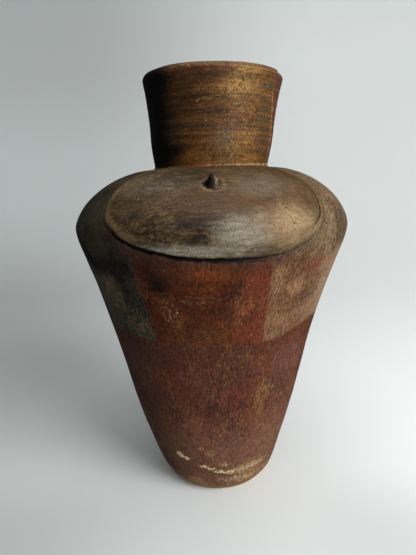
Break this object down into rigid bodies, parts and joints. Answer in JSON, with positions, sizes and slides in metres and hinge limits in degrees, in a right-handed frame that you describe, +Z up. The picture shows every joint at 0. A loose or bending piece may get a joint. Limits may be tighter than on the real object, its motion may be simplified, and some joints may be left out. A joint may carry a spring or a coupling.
{
  "type": "pottery jar",
  "caption": "Hollow fired-clay jar with a tapering body, domed shoulder and flared neck, a raised oval pad on the front of the shoulder and a small pointed nub.",
  "frame": {"origin": "centre of the flat underside, on the surface the jar stands on", "axes": "+Z up through the mouth, -Y towards the front with the raised pad and the nub"},
  "size_m": [0.194, 0.1956, 0.3],
  "materials": {
    "clay": "burnished, slip-painted earthenware, worn"
  },
  "bodies": {
    "root": {"jar": "clay"}
  },
  "joints": []
}
